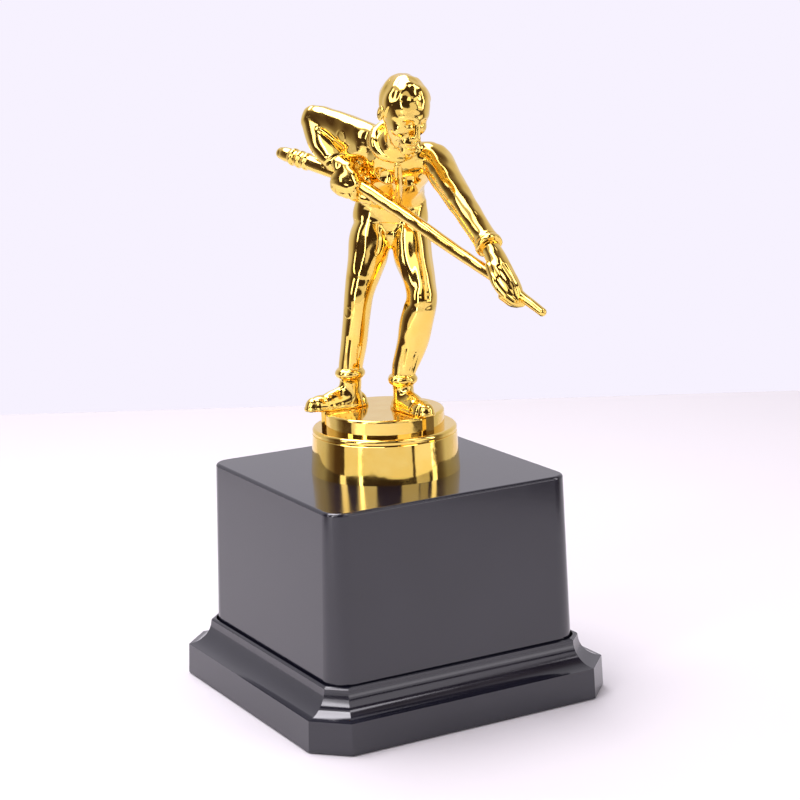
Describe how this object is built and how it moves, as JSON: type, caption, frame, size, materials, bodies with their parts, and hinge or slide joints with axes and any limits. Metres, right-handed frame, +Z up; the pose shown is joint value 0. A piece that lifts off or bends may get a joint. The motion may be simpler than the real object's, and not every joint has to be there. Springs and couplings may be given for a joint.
{
  "type": "figure trophy",
  "caption": "Trophy with a gold-plated cue-sports player leaning over a cue, on a stepped gold drum bolted to a square black weighted base.",
  "frame": {"origin": "centre of the foot pad's underside, on the table", "axes": "+Z up, -Y the front that the player faces, +X to the right when looking at the front"},
  "size_m": [0.097, 0.1224, 0.1807],
  "materials": {
    "black_gloss": "glossy moulded black polystyrene",
    "black_matte": "plain moulded black polystyrene",
    "gold_plate": "vacuum-metallised plastic with a clear gold lacquer",
    "steel": "zinc-plated",
    "foam": "thin closed-cell foam",
    "ballast": "rough cast cement"
  },
  "bodies": {
    "root": {"pedestal_box": "black_gloss", "base_skirt": "black_gloss", "ballast_block": "ballast", "bottom_cover": "black_matte", "cover_screws": "steel", "foot_pad": "foam", "tie_bolt": "steel", "bolt_washer": "steel", "stand_nut": "steel", "drum_riser": "gold_plate", "figure_stand": "gold_plate", "trousers": "gold_plate", "torso": "gold_plate", "head": "gold_plate", "right_arm": "gold_plate", "left_arm": "gold_plate", "right_hand": "gold_plate", "left_hand": "gold_plate", "right_shoe": "gold_plate", "left_shoe": "gold_plate", "cue": "gold_plate"}
  },
  "joints": []
}
